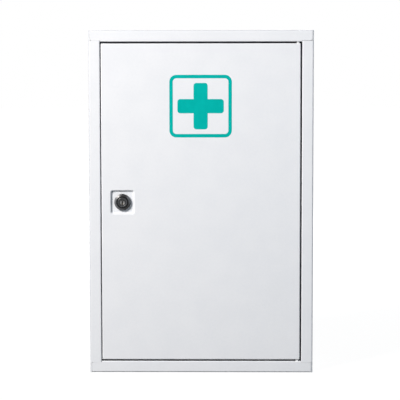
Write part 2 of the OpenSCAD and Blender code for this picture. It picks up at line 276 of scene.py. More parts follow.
# ---------------------------------------------------------------- door
def in_dish(vertex, y):
    """True for a vertex of the dish that lies in the plane at y."""
    reach = DISH_SIDE / 2 + 0.1 * MM
    return (
        abs(vertex.co.y - y) < CLOSE
        and abs(vertex.co.x - LOCK_X) < reach
        and abs(vertex.co.z - LOCK_Z) < reach
    )


def dish_edge(y):
    """True for the edges where the dish's wall meets the plane at y."""
    def test(edge):
        return (
            all(in_dish(vertex, y) for vertex in edge.verts)
            and len(edge.link_faces) == 2
            and edge.calc_face_angle(0) > CREASE_ABOVE
        )
    return test


def dish_former():
    """The punch that presses the dish, a little longer than the dish is deep."""
    proud = 0.5 * MM
    mouth = DISH_SIDE + 2 * proud * DISH_SLOPE / DISH_DEPTH
    floor = DISH_SIDE - 2 * DISH_SLOPE
    centre = Vector((LOCK_X, FRONT_Y - proud, LOCK_Z))
    punch = upright_plate(centre, mouth, mouth, DISH_CORNER, 6)
    edit_whole(punch)
    bpy.ops.mesh.extrude_region_move(
        TRANSFORM_OT_translate={"value": (0, DISH_DEPTH + proud, 0)}
    )
    ratio = floor / mouth
    bpy.ops.transform.resize(value=(ratio, 1, ratio), center_override=centre)
    tidy_shell(punch)
    return punch


def make_door():
    """Folded steel door: bent edges, a hem round the back, and the pressed dish for the lock."""
    door = block(door_low, door_high)
    edit(door)
    pick(door, "edges", lambda edge: True)
    bpy.ops.mesh.bevel(offset=BEND, segments=6, affect="EDGES")
    start_fresh()
    cut(door, dish_former())

    edit(door)
    pick(door, "edges", dish_edge(FRONT_Y))
    bpy.ops.mesh.bevel(offset=DISH_LIP, segments=4, affect="EDGES")
    pick(door, "edges", dish_edge(DISH_FLOOR_Y))
    bpy.ops.mesh.bevel(offset=DISH_FOOT, segments=4, affect="EDGES")

    rear = door_high.y - CLOSE
    pick(door, "faces", lambda face: face.calc_center_median().y > rear and face.normal.y > 0.9)
    bpy.ops.mesh.inset(thickness=HEM - BEND)
    bpy.ops.mesh.delete(type="FACE")
    start_fresh()
    apply_modifier(door, "SOLIDIFY", thickness=SHEET, offset=-1, use_even_offset=True)

    hole = lock_rod(0, BARREL_R, 6 * MM)
    edit(hole)
    for side in (-1, 1):
        slice_off((LOCK_X + side * BARREL_FLAT, 0, 0), (side, 0, 0))
    cut(door, hole)
    for edge_z in (door_low.z, door_high.z):
        cut(door, rod((PIVOT.x, PIVOT.y, edge_z), PIN_HOLE_R, 4 * MM, sides=24))
    smooth(door)
    hand_over(door, "door_skin", "door", "powder_coat", "door_pan")


# ---------------------------------------------------------------- printed sign
def lay_ink(plate, name):
    """Gives a flat print its ink thickness, standing on the door's face."""
    apply_modifier(plate, "SOLIDIFY", thickness=INK, offset=1)
    smooth(plate)
    hand_over(plate, name, "door", "teal_print")


def on_edge_middle(edge, point):
    """True for the edge whose middle is at the point."""
    return ((edge.verts[0].co + edge.verts[1].co) / 2 - point).length < CLOSE


def make_sign():
    """Healthcare cross in a rounded square outline, printed on the door."""
    centre = (SIGN_X, FRONT_Y, SIGN_Z)
    outline = upright_plate(centre, SIGN_SIDE, SIGN_SIDE, SIGN_CORNER, 14)
    edit(outline)
    pick(outline, "faces", lambda face: True)
    bpy.ops.mesh.inset(thickness=SIGN_LINE)
    bpy.ops.mesh.delete(type="FACE")
    lay_ink(outline, "sign_outline")

    start_fresh()
    bpy.ops.mesh.primitive_plane_add(size=CROSS_ARM, location=centre, rotation=FACE_FRONT)
    cross = settle(bpy.context.object)
    edit(cross)
    reach = (CROSS_SPAN - CROSS_ARM) / 2
    tips = []
    for x, z in ((1, 0), (-1, 0), (0, 1), (0, -1)):
        toward = Vector((x, 0, z))
        edge_middle = Vector(centre) + toward * CROSS_ARM / 2
        pick(cross, "edges", lambda edge: on_edge_middle(edge, edge_middle))
        bpy.ops.mesh.extrude_edges_move(TRANSFORM_OT_translate={"value": toward * reach})
        tips.append(edge_middle + toward * reach)
    near = 0.6 * CROSS_ARM
    pick(cross, "verts", lambda vertex: min((vertex.co - tip).length for tip in tips) < near)
    bpy.ops.mesh.bevel(offset=CROSS_CORNER, segments=8, affect="VERTICES")
    pick(cross, "faces", lambda face: True)
    bpy.ops.mesh.dissolve_faces()
    lay_ink(cross, "sign_cross")


# ---------------------------------------------------------------- lock
def make_lock_case():
    """Black bezel with a wide chamfer, and the threaded barrel with its two flats."""
    outside = [
        (11, 0), (11, -3.0), (10.97, -3.14), (10.89, -3.27), (10.76, -3.36),
        (8.62, -4.3), (8.42, -4.38), (8.24, -4.46)
    ]
    rim = [
        (8.1, -4.5), (7.85, -4.5), (7.72, -4.46), (7.6, -4.36),
        (7.2, -3.88), (7.08, -3.8), (6.75, -3.8)
    ]
    bore = [(6.75, -1.35), (6.05, -1.35), (6.05, 15.7), (6.35, 16), (8.3, 16)]
    thread = []
    depth = THREAD_END
    while depth > THREAD_START:
        thread += [
            (THREAD_ROOT_R, depth), (THREAD_CREST_R, depth - 0.38), (THREAD_CREST_R, depth - 0.5)
        ]
        depth -= THREAD_PITCH
    thread += [(THREAD_ROOT_R, depth), (THREAD_ROOT_R, 0)]
    case = turned(outside + rim + bore + thread)
    for side in (-1, 1):
        reach = sorted((LOCK_X + side * BARREL_FLAT, LOCK_X + side * 10 * MM))
        low = (reach[0], DISH_FLOOR_Y + 0.05 * MM, LOCK_Z - 12 * MM)
        high = (reach[1], DISH_FLOOR_Y + 18 * MM, LOCK_Z + 12 * MM)
        cut(case, block(low, high))
    smooth(case)
    hand_over(case, "lock_case", "door", "black_lock", "lock_body")


def keyway_prism(depths, sizes, corner):
    """Plate with rounded corners on the keyway, pulled back and resized from depth to depth.

    The depths behind the dish's floor, the widths and heights and the corner are in mm.
    """
    depth, (width, height) = depths[0] * MM, sizes[0]
    centre = Vector((LOCK_X, DISH_FLOOR_Y + depth, LOCK_Z - KEYWAY_DROP * MM))
    made = upright_plate(centre, width * MM, height * MM, corner * MM, 12)
    edit_whole(made)
    for next_depth, (next_width, next_height) in zip(depths[1:], sizes[1:]):
        bpy.ops.mesh.extrude_region_move(
            TRANSFORM_OT_translate={"value": (0, next_depth * MM - depth, 0)}
        )
        bpy.ops.transform.resize(
            value=(next_width / width, 1, next_height / height), center_override=centre
        )
        depth, width, height = next_depth * MM, next_width, next_height
    tidy_shell(made)
    return made


def make_plug_face():
    """Black head of the plug: an eased edge, a raised ring and a lower face round the keyway."""
    side = [(6.7, -1.4), (6.7, -6.3), (6.66, -6.48), (6.55, -6.64), (6.38, -6.76), (6.05, -6.92)]
    ring = [(5.85, -6.98), (5.65, -7), (5.45, -6.98), (5.3, -6.9), (5.05, -6.62), (4.9, -6.55)]
    inside = [(2.0, -6.55), (2.0, -1.4)]
    face = turned(side + ring + inside)
    cut(face, keyway_prism((-8, 0), (KEYWAY_MOUTH, KEYWAY_MOUTH), 3.0))
    smooth(face)
    hand_over(face, "plug_face", "key_plug", "black_lock", "plug_cap")


def make_plug_core():
    """Nickel plug: the funnel that leads the key in, its slot, the wafers' slots and the shank."""
    core = lock_rod(7.55 * MM, PLUG_R, 17.9 * MM)
    edit(core)
    pick(core, "edges", lambda edge: abs(edge.verts[0].co.y - edge.verts[1].co.y) < CLOSE)
    bpy.ops.mesh.bevel(offset=0.25 * MM, segments=2, affect="EDGES")
    start_fresh()
    width, height = KEYWAY_MOUTH
    boss = keyway_prism((-6.62, -1.3), ((width - 0.04, height - 0.04),) * 2, 2.98)
    join(core, boss)
    shank = lock_rod(16.5 * MM, SHANK_R, 4 * MM)
    edit(shank)
    for axis in ((1, 0, 0), (-1, 0, 0), (0, 0, 1), (0, 0, -1)):
        outward = Vector(axis)
        slice_off(Vector((LOCK_X, 0, LOCK_Z)) + outward * SHANK_FLAT, outward)
    join(core, shank)
    cut(core, keyway_prism((-6.9, -6.56, -5.5), ((5.9, 6.3), (5.7, 6.1), KEYWAY_SLOT), 2.6))
    cut(core, keyway_prism((-6.0, 9.4), (KEYWAY_SLOT, KEYWAY_SLOT), 0.6))
    half = Vector(WAFER_SLOT_HALF) * MM
    for number in range(WAFERS):
        depth = (WAFER_FIRST + WAFER_PITCH * number) * MM
        middle = Vector((LOCK_X, DISH_FLOOR_Y + depth, LOCK_Z))
        cut(core, block(middle - half, middle + half))
    cut(core, lock_rod(15 * MM, 1.5 * MM, 9 * MM, 32))
    smooth(core)
    hand_over(core, "plug_core", "key_plug", "nickel_plug", "lock_plug")


# ---------------------------------------------------------------- node helpers
def feed(tree, value, socket):
    """Links an output to a socket, or sets a constant on it."""
    if isinstance(value, bpy.types.NodeSocket):
        tree.links.new(value, socket)
    else:
        socket.default_value = value


def add_node(tree, kind, settings=None, **values):
    """Adds a shader node with its settings, and feeds its sockets by name."""
    made = tree.nodes.new("ShaderNode" + kind)
    for name, value in (settings or {}).items():
        setattr(made, name, value)
    for name, value in values.items():
        feed(tree, value, made.inputs[name.replace("_", " ")])
    return made


def calc(tree, operation, *terms, clamp=False):
    """Result of one Math node on outputs or constants."""
    made = tree.nodes.new("ShaderNodeMath")
    made.operation = operation
    made.use_clamp = clamp
    for term, socket in zip(terms, made.inputs):
        feed(tree, term, socket)
    return made.outputs[0]


def ramp(tree, value, start, end, low=0.0, high=1.0):
    """Value taken from start..end to low..high, smoothly and held at both ends."""
    made = add_node(tree, "MapRange", {"interpolation_type": "SMOOTHSTEP"})
    for term, socket in zip((value, start, end, low, high), made.inputs):
        feed(tree, term, socket)
    return made.outputs["Result"]


def tint(tree, share, low, high):
    """Colour between low and high, by a share from 0 to 1."""
    made = tree.nodes.new("ShaderNodeMix")
    made.data_type = "RGBA"
    feed(tree, share, made.inputs["Factor"])
    feed(tree, low, made.inputs[6])
    feed(tree, high, made.inputs[7])
    return made.outputs[2]


def noise(tree, place, scale, detail=2.0, roughness=0.5):
    """Cloudy value round 0.5."""
    made = add_node(tree, "TexNoise", Scale=scale, Detail=detail, Roughness=roughness)
    tree.links.new(place, made.inputs["Vector"])
    return made.outputs["Fac"]


def object_place(tree):
    """Object coordinates, in metres."""
    return tree.nodes.new("ShaderNodeTexCoord").outputs["Object"]


def split(tree, vector):
    """The vector's X, Y and Z."""
    made = tree.nodes.new("ShaderNodeSeparateXYZ")
    tree.links.new(vector, made.inputs[0])
    return made.outputs


def stretched(tree, place, scale, turn=(0, 0, 0)):
    """Coordinates turned and scaled, so that a pattern on them runs in one direction."""
    made = add_node(tree, "Mapping", Scale=scale, Rotation=turn)
    tree.links.new(place, made.inputs["Vector"])
    return made.outputs["Vector"]


def new_group(name, inputs, outputs):
    """Node group with number sockets: the group, what it is given and what it puts out."""
    group = bpy.data.node_groups.new(name, "ShaderNodeTree")
    for label, value in inputs.items():
        socket = group.interface.new_socket(label, in_out="INPUT", socket_type="NodeSocketFloat")
        socket.default_value = value
    for label in outputs:
        group.interface.new_socket(label, in_out="OUTPUT", socket_type="NodeSocketFloat")
    entry = group.nodes.new("NodeGroupInput")
    leaving = group.nodes.new("NodeGroupOutput")
    return group, entry.outputs, leaving.inputs


def use_group(tree, group, **values):
    """Puts a node group in the tree, feeds its sockets by name and gives its outputs."""
    made = tree.nodes.new("ShaderNodeGroup")
    made.node_tree = group
    for name, value in values.items():
        feed(tree, value, made.inputs[name.replace("_", " ")])
    return made.outputs


# ---------------------------------------------------------------- effects shared by the finishes
def make_paint_skin():
    """Orange peel of stoved powder, the slow waviness of thin sheet, and its cloudy tone."""
    group, given, out = new_group(
        "paint_skin", {"Peel": 7e-6, "Wave": 5e-5}, ("Height", "Cloud")
    )
    place = object_place(group)
    peel = calc(group, "SUBTRACT", noise(group, place, 620.0, 2.0), 0.5)
    fine = calc(group, "SUBTRACT", noise(group, place, 2400.0, 1.0), 0.5)
    wave = calc(group, "SUBTRACT", noise(group, place, 9.0, 1.0), 0.5)
    height = calc(group, "MULTIPLY", peel, given["Peel"])
    fine_peel = calc(group, "MULTIPLY", given["Peel"], 0.25)
    height = calc(group, "MULTIPLY_ADD", fine, fine_peel, height)
    height = calc(group, "MULTIPLY_ADD", wave, given["Wave"], height)
    group.links.new(height, out["Height"])
    small = calc(group, "MULTIPLY", noise(group, place, 300.0, 2.0), 0.4)
    cloud = calc(group, "MULTIPLY_ADD", noise(group, place, 34.0, 4.0), 0.6, small)
    group.links.new(cloud, out["Cloud"])
    return group


def make_scratches():
    """Hairline scratches in two directions, broken up so that they come and go."""
    group, given, out = new_group("hairline_scratches", {"Coverage": 0.3}, ("Mask",))
    place = object_place(group)
    lines = []
    directions = (((0.3, 0.5, 0.2), (40, 1600, 1600)), ((1.1, -0.4, 1.3), (1500, 50, 1500)))
    for turn, scale in directions:
        streak = noise(group, stretched(group, place, scale, turn), 1.0, 1.0)
        lines.append(ramp(group, streak, 0.62, 0.7))
    both = calc(group, "MAXIMUM", *lines)
    least = calc(group, "SUBTRACT", 0.62, given["Coverage"])
    patches = ramp(group, noise(group, place, 60.0, 3.0), 0.62, least)
    kept = calc(group, "SUBTRACT", 1.0, patches)
    group.links.new(calc(group, "MULTIPLY", both, kept), out["Mask"])
    return group


def make_worn_edges():
    """Where a sharp edge is rubbed: the rounded normal leaves the true one there."""
    group, given, out = new_group("worn_edges", {"Width": 0.0004, "Amount": 0.5}, ("Mask",))
    bevel = add_node(group, "Bevel", {"samples": 4}, Radius=given["Width"])
    true_normal = group.nodes.new("ShaderNodeNewGeometry").outputs["Normal"]
    dot = group.nodes.new("ShaderNodeVectorMath")
    dot.operation = "DOT_PRODUCT"
    group.links.new(bevel.outputs["Normal"], dot.inputs[0])
    group.links.new(true_normal, dot.inputs[1])
    edge = ramp(group, dot.outputs["Value"], 0.995, 0.9)
    broken = ramp(group, noise(group, object_place(group), 420.0, 3.0), 0.35, 0.65)
    worn = calc(group, "MULTIPLY", edge, broken)
    group.links.new(calc(group, "MULTIPLY", worn, given["Amount"], clamp=True), out["Mask"])
    return group


def make_dust_and_nook_shade():
    """Dust on what faces up, and painted shade: darker in corners, recesses and the gaps between
    parts, by ambient occlusion.
    """
    group, given, out = new_group(
        "dust_and_nook_shade", {"Reach": 0.006, "Amount": 0.5}, ("Dust", "NookShade")
    )
    place = object_place(group)
    normal = group.nodes.new("ShaderNodeNewGeometry").outputs["Normal"]
    upward = ramp(group, split(group, normal)["Z"], 0.35, 0.95)
    patchy = ramp(group, noise(group, place, 70.0, 5.0, 0.65), 0.35, 0.75)
    dust = calc(group, "MULTIPLY", calc(group, "MULTIPLY", upward, patchy), given["Amount"])
    group.links.new(dust, out["Dust"])
    # Painted shade: ambient occlusion darkens whatever lies in nooks and in the gaps between parts.
    nook = add_node(group, "AmbientOcclusion", {"samples": 6}, Distance=given["Reach"])
    shut = ramp(group, nook.outputs["AO"], 0.55, 0.1)
    uneven = ramp(group, noise(group, place, 160.0, 3.0), 0.3, 0.7, 0.5, 1.0)
    nook_shade = calc(group, "MULTIPLY", calc(group, "MULTIPLY", shut, given["Amount"]), uneven)
    group.links.new(nook_shade, out["NookShade"])
    return group


def make_shaded_bends():
    """Painted shade on the bends, whose normals lie between the sheet's flats, most at the
    cabinet's outer corners.

    Amount is the share on every bend, and Outside is added at the cabinet's outer corners.
    """
    group, given, out = new_group("shaded_bends", {"Amount": 0.05, "Outside": 0.6}, ("Mask",))
    facing = split(group, group.nodes.new("ShaderNodeTexCoord").outputs["Normal"])
    flats = [calc(group, "ABSOLUTE", facing[axis]) for axis in "XYZ"]
    flattest = calc(group, "MAXIMUM", calc(group, "MAXIMUM", flats[0], flats[1]), flats[2])
    between = ramp(group, calc(group, "SUBTRACT", 1.0, flattest), 0.0, 0.12)
    place = split(group, object_place(group))
    near_edges = []
    for axis, edge in (("X", -side_low.x), ("Z", side_high.z)):
        outward = calc(group, "ABSOLUTE", place[axis])
        near_edges.append(ramp(group, outward, edge - 3 * MM, edge - 1 * MM))
    outer = calc(group, "MAXIMUM", *near_edges)
    amount = calc(group, "MULTIPLY_ADD", outer, given["Outside"], given["Amount"])
    group.links.new(calc(group, "MULTIPLY", between, amount, clamp=True), out["Mask"])
    return group


def make_weld_row():
    """A row of spot welds under paint: shallow round dimples at one pitch along a line."""
    group, given, out = new_group(
        "weld_row", {"Across": 0.0, "Along": 0.0, "Pitch": 0.04, "Reach": 0.2}, ("Height", "Mask")
    )
    half = calc(group, "DIVIDE", given["Pitch"], 2.0)
    shifted = calc(group, "ADD", given["Along"], half)
    off = calc(group, "SUBTRACT", half, calc(group, "PINGPONG", shifted, half))
    across = calc(group, "MULTIPLY", given["Across"], given["Across"])
    distance = calc(group, "SQRT", calc(group, "MULTIPLY_ADD", off, off, across))
    dimple = ramp(group, distance, 1.6 * MM, 2.9 * MM, -1.0, 0.0)
    rise = ramp(group, distance, 2.6 * MM, 3.1 * MM)
    fall = ramp(group, distance, 3.9 * MM, 3.1 * MM)
    lip = calc(group, "MULTIPLY", rise, fall)
    inside = calc(group, "LESS_THAN", calc(group, "ABSOLUTE", given["Along"]), given["Reach"])
    height = calc(group, "MULTIPLY_ADD", lip, 0.25, dimple)
    group.links.new(calc(group, "MULTIPLY", height, inside), out["Height"])
    group.links.new(calc(group, "MULTIPLY", calc(group, "ABSOLUTE", dimple), inside), out["Mask"])
    return group


PAINT_SKIN = make_paint_skin()
SCRATCHES = make_scratches()
WORN_EDGES = make_worn_edges()
DUST_AND_NOOK_SHADE = make_dust_and_nook_shade()
SHADED_BENDS = make_shaded_bends()
WELD_ROW = make_weld_row()


# ---------------------------------------------------------------- finishes
def new_finish(name):
    """New material, its node tree and its shader."""
    material = bpy.data.materials.new(name)
    material.use_nodes = True
    return material, material.node_tree, material.node_tree.nodes["Principled BSDF"]


def surface(tree, shader, colour, roughness, height, metallic=0.0):
    """Gives the shader its colour, its roughness and its height in metres."""
    tree.links.new(colour, shader.inputs["Base Color"])
    tree.links.new(roughness, shader.inputs["Roughness"])
    shader.inputs["Metallic"].default_value = metallic
    bump = add_node(tree, "Bump", Strength=1.0, Distance=1.0, Height=height)
    tree.links.new(bump.outputs["Normal"], shader.inputs["Normal"])


# Spot welds along run_axis, a distance off along the other axis, and on both sides if mirrored
WeldLine = namedtuple("WeldLine", "axis mirrored offset run_axis run_middle pitch reach")
WELD_DEPTH = 0.09 * MM


def make_powder_coat(name, weld_lines=()):
    """Semi-gloss white powder coat, thin at worn edges, with painted shade on its bends, in its
    nooks and in the dimples over any spot welds.
    """
    material, tree, shader = new_finish(name)
    skin = use_group(tree, PAINT_SKIN)
    edges = use_group(tree, WORN_EDGES, Width=0.35 * MM, Amount=0.35)
    dust_and_shade = use_group(tree, DUST_AND_NOOK_SHADE, Reach=5 * MM, Amount=0.4)
    rubbed = use_group(tree, SCRATCHES, Coverage=0.12)
    cloud = ramp(tree, skin["Cloud"], 0.3, 0.7)
    colour = tint(tree, cloud, (0.806, 0.820, 0.848, 1), (0.834, 0.845, 0.868, 1))
    colour = tint(tree, calc(tree, "MULTIPLY", dust_and_shade["Dust"], 0.25), colour, (0.64, 0.63, 0.60, 1))
    # Painted shade: the nook mask takes the paint nearly to grey-black in corners and in the gaps
    # round the door.
    nook_shade = calc(tree, "MULTIPLY", dust_and_shade["NookShade"], 2.2, clamp=True)
    colour = tint(tree, nook_shade, colour, (0.20, 0.20, 0.21, 1))
    colour = tint(tree, calc(tree, "MULTIPLY", edges["Mask"], 0.5), colour, (0.60, 0.61, 0.64, 1))
    bend_shade = use_group(tree, SHADED_BENDS, Amount=0.02, Outside=0.78)
    # Painted shade: the bends are darkened to blue-grey so that they don't light up white.
    colour = tint(tree, bend_shade["Mask"], colour, (0.56, 0.58, 0.62, 1))
    roughness = ramp(tree, cloud, 0.0, 1.0, 0.36, 0.44)
    roughness = calc(tree, "MULTIPLY_ADD", dust_and_shade["Dust"], 0.3, roughness)
    roughness = calc(tree, "MULTIPLY_ADD", rubbed["Mask"], -0.08, roughness)
    height = skin["Height"]
    place = split(tree, object_place(tree)) if weld_lines else None
    for line in weld_lines:
        across = place[line.axis]
        if line.mirrored:
            across = calc(tree, "ABSOLUTE", across)
        row = use_group(
            tree, WELD_ROW, Across=calc(tree, "SUBTRACT", across, line.offset),
            Along=calc(tree, "SUBTRACT", place[line.run_axis], line.run_middle),
            Pitch=line.pitch, Reach=line.reach
        )
        height = calc(tree, "MULTIPLY_ADD", row["Height"], WELD_DEPTH, height)
        # Painted shade: each weld dimple is tinted a little darker grey.
        dimple_shade = calc(tree, "MULTIPLY", row["Mask"], 0.10)
        colour = tint(tree, dimple_shade, colour, (0.60, 0.61, 0.63, 1))
    surface(tree, shader, colour, roughness, height)
    return material


def make_zinc():
    """Bright zinc plating: bluish, blotchy, with hairline scratches."""
    material, tree, shader = new_finish("zinc_plating")
    place = object_place(tree)
    blotch = noise(tree, place, 240.0, 4.0, 0.6)
    rubbed = use_group(tree, SCRATCHES, Coverage=0.3)
    edges = use_group(tree, WORN_EDGES, Width=0.25 * MM, Amount=0.8)
    colour = tint(tree, ramp(tree, blotch, 0.3, 0.7), (0.50, 0.52, 0.55, 1), (0.68, 0.68, 0.69, 1))
    colour = tint(tree, calc(tree, "MULTIPLY", rubbed["Mask"], 0.5), colour, (0.78, 0.79, 0.8, 1))
    colour = tint(tree, edges["Mask"], colour, (0.82, 0.82, 0.82, 1))
    roughness = ramp(tree, blotch, 0.3, 0.7, 0.24, 0.42)
    grain = calc(tree, "MULTIPLY", noise(tree, place, 1500.0, 2.0), 6e-6)
    height = calc(tree, "MULTIPLY_ADD", rubbed["Mask"], -4e-6, grain)
    surface(tree, shader, colour, roughness, height, metallic=1.0)
    return material


def from_lock_axis(tree):
    """Distance from the lock's axis, the offsets across and up from it, and the place along it."""
    place = split(tree, object_place(tree))
    across = calc(tree, "SUBTRACT", place["X"], LOCK_X)
    up = calc(tree, "SUBTRACT", place["Z"], LOCK_Z)
    up_squared = calc(tree, "MULTIPLY", up, up)
    radius = calc(tree, "SQRT", calc(tree, "MULTIPLY_ADD", across, across, up_squared))
    return radius, across, up, place["Y"]


def turned_marks(tree, scale):
    """Fine rings left by the lathe."""
    radius = from_lock_axis(tree)[0]
    made = add_node(tree, "TexNoise", {"noise_dimensions": "1D"}, W=radius, Scale=scale, Detail=2.0)
    return made.outputs["Fac"]


def make_nickel():
    """Nickel-plated plug, turned and then dulled by keys."""
    material, tree, shader = new_finish("nickel_plug")
    rings = turned_marks(tree, 5200.0)
    rubbed = use_group(tree, SCRATCHES, Coverage=0.4)
    edges = use_group(tree, WORN_EDGES, Width=0.2 * MM, Amount=0.8)
    stain = noise(tree, object_place(tree), 500.0, 3.0)
    stain = ramp(tree, stain, 0.35, 0.65)
    colour = tint(tree, stain, (0.15, 0.148, 0.145, 1), (0.25, 0.248, 0.245, 1))
    colour = tint(tree, edges["Mask"], colour, (0.5, 0.49, 0.48, 1))
    roughness = ramp(tree, rings, 0.3, 0.7, 0.30, 0.48)
    height = calc(tree, "MULTIPLY", rings, 5e-6)
    height = calc(tree, "MULTIPLY_ADD", rubbed["Mask"], -5e-6, height)
    surface(tree, shader, colour, roughness, height, metallic=1.0)
    return material


# Painted reflection arcs: each arc's direction across and up, the cosines at which it starts and is
# full, and its share
REFLECTION_ARCS = ((-0.87, -0.5, 0.1, 0.75, 1.0), (0.94, 0.34, 0.7, 0.97, 0.9))


def reflection_arcs_and_ring(tree):
    """Painted reflection as grey arcs on the bezel's chamfer, toward the lower left and the right,
    and a lighter grey ring on the plug's face.
    """
    radius, across, up, depth = from_lock_axis(tree)
    broken = ramp(tree, noise(tree, object_place(tree), 260.0, 3.0), 0.25, 0.65, 0.6, 1.0)
    arcs = []
    for side, lift, start, full, share in REFLECTION_ARCS:
        toward = calc(tree, "MULTIPLY_ADD", across, side, calc(tree, "MULTIPLY", up, lift))
        toward = calc(tree, "DIVIDE", toward, radius)
        arcs.append(ramp(tree, toward, start, full, 0.0, share))
    outside = ramp(tree, radius, 8.3 * MM, 8.9 * MM)
    in_front = calc(tree, "LESS_THAN", depth, DISH_FLOOR_Y - 2.4 * MM)
    chamfer = calc(tree, "MULTIPLY", outside, in_front)
    arc = calc(tree, "MULTIPLY", calc(tree, "MAXIMUM", *arcs), chamfer)
    rise = ramp(tree, radius, 5.2 * MM, 5.45 * MM)
    fall = ramp(tree, radius, 6.0 * MM, 5.75 * MM)
    ring = calc(tree, "MULTIPLY", calc(tree, "MULTIPLY", rise, fall), 0.6)
    return calc(tree, "MULTIPLY", calc(tree, "MAXIMUM", arc, ring), broken)


def make_black_lock():
    """Glossy black coating over the turned lock case, rubbed grey at the edges, with a painted
    reflection of grey arcs on its chamfer and a lighter ring on the plug.
    """
    material, tree, shader = new_finish("black_lock")
    rings = turned_marks(tree, 2600.0)
    mottle = noise(tree, object_place(tree), 900.0, 3.0)
    edges = use_group(tree, WORN_EDGES, Width=0.18 * MM, Amount=0.35)
    dust_and_shade = use_group(tree, DUST_AND_NOOK_SHADE, Reach=1.5 * MM, Amount=0.5)
    colour = tint(tree, mottle, (0.003, 0.0032, 0.004, 1), (0.008, 0.0085, 0.010, 1))
    colour = tint(tree, edges["Mask"], colour, (0.10, 0.10, 0.105, 1))
    # Painted reflection: grey arcs on the chamfer, and a lighter grey ring on the plug's face.
    colour = tint(tree, reflection_arcs_and_ring(tree), colour, (0.125, 0.13, 0.142, 1))
    colour = tint(tree, calc(tree, "MULTIPLY", dust_and_shade["Dust"], 0.25), colour, (0.25, 0.24, 0.23, 1))
    roughness = ramp(tree, mottle, 0.3, 0.7, 0.24, 0.36)
    height = calc(tree, "MULTIPLY_ADD", mottle, 3e-6, calc(tree, "MULTIPLY", rings, 3e-6))
    surface(tree, shader, colour, roughness, height)
    shader.inputs["Specular IOR Level"].default_value = 0.46
    return material


def make_brass():
    """Stamped brass, tarnished in patches and scratched bright."""
    material, tree, shader = new_finish("stamped_brass")
    tarnish = ramp(tree, noise(tree, object_place(tree), 700.0, 4.0, 0.6), 0.4, 0.7)
    rubbed = use_group(tree, SCRATCHES, Coverage=0.4)
    colour = tint(tree, tarnish, (0.50, 0.36, 0.17, 1), (0.22, 0.14, 0.07, 1))
    colour = tint(tree, calc(tree, "MULTIPLY", rubbed["Mask"], 0.5), colour, (0.85, 0.70, 0.42, 1))
    roughness = ramp(tree, tarnish, 0.0, 1.0, 0.25, 0.5)
    height = calc(tree, "MULTIPLY", tarnish, -6e-6)
    surface(tree, shader, colour, roughness, height, metallic=1.0)
    return material


def make_rubber():
    """Grey moulded rubber with a pale bloom and settled dust."""
    material, tree, shader = new_finish("moulded_rubber")
    place = object_place(tree)
    grain = noise(tree, place, 2200.0, 3.0)
    bloom = ramp(tree, noise(tree, place, 320.0, 4.0), 0.45, 0.75)
    dust_and_shade = use_group(tree, DUST_AND_NOOK_SHADE, Reach=1.5 * MM, Amount=0.6)
    colour = tint(tree, bloom, (0.075, 0.076, 0.08, 1), (0.14, 0.14, 0.145, 1))
    colour = tint(tree, calc(tree, "MULTIPLY", dust_and_shade["Dust"], 0.6), colour, (0.3, 0.29, 0.28, 1))
    roughness = ramp(tree, bloom, 0.0, 1.0, 0.62, 0.8)
    surface(tree, shader, colour, roughness, calc(tree, "MULTIPLY", grain, 2.5e-5))
    return material


def make_nylon():
    """Natural white nylon with faint flow lines."""
    material, tree, shader = new_finish("moulded_nylon")
    place = object_place(tree)
    flow = noise(tree, stretched(tree, place, (300, 300, 900)), 1.0, 3.0)
    colour = tint(tree, flow, (0.78, 0.785, 0.78, 1), (0.87, 0.875, 0.87, 1))
    roughness = ramp(tree, flow, 0.3, 0.7, 0.42, 0.55)
    height = calc(tree, "MULTIPLY", noise(tree, place, 1800.0, 2.0), 8e-6)
    surface(tree, shader, colour, roughness, height)
    return material


def make_print():
    """Screen-printed enamel: even colour with the faint weave of the screen and a few pinholes."""
    material, tree, shader = new_finish("teal_print")
    place = object_place(tree)
    parts = split(tree, place)
    threads = [
        calc(tree, "SINE", calc(tree, "MULTIPLY", parts[axis], 2 * math.pi / (0.3 * MM)))
        for axis in "XZ"
    ]
    weave = calc(tree, "MULTIPLY", *threads)
    flow = noise(tree, place, 110.0, 4.0)
    pinholes = ramp(tree, noise(tree, place, 1400.0, 1.0), 0.79, 0.84)
    colour = tint(tree, ramp(tree, flow, 0.3, 0.7), (0.0, 0.428, 0.384, 1), (0.0, 0.458, 0.412, 1))
    colour = tint(tree, calc(tree, "MULTIPLY", pinholes, 0.7), colour, (0.70, 0.80, 0.80, 1))
    roughness = ramp(tree, flow, 0.3, 0.7, 0.34, 0.46)
    skin = use_group(tree, PAINT_SKIN)
    height = calc(tree, "MULTIPLY_ADD", weave, 1.2e-6, skin["Height"])
    surface(tree, shader, colour, roughness, height)
    shader.inputs["Specular IOR Level"].default_value = 0.06
    return material


BACK_WELDS = (
    WeldLine("X", True, 143.5 * MM, "Z", 0.0, 42 * MM, 215 * MM),
    WeldLine("Z", True, 223.5 * MM, "X", 0.0, 42 * MM, 130 * MM),
)
SIDE_WELDS = (
    WeldLine("Z", True, 224.0 * MM, "Y", -70 * MM, 32 * MM, 44 * MM),
    WeldLine("Z", False, 70.0 * MM, "Y", -55 * MM, 32 * MM, 44 * MM),
    WeldLine("Z", False, -82.0 * MM, "Y", -55 * MM, 32 * MM, 44 * MM),
)
FINISHES = {
    "powder_coat": make_powder_coat("powder_coat"),
    "zinc_steel": make_zinc(),
    "white_nylon": make_nylon(),
    "grey_rubber": make_rubber(),
    "black_lock": make_black_lock(),
    "nickel_plug": make_nickel(),
    "brass_wafer": make_brass(),
    "teal_print": make_print(),
}
WELDED = {
    "back_panel": make_powder_coat("powder_coat_on_back", BACK_WELDS),
    "side_panel_left": make_powder_coat("powder_coat_on_sides", SIDE_WELDS),
}
WELDED["side_panel_right"] = WELDED["side_panel_left"]


def wear(piece, slot, finish=None):
    """Puts a finish on a piece in place of whatever it had."""
    piece.data.materials.clear()
    piece.data.materials.append(finish or FINISHES[slot])


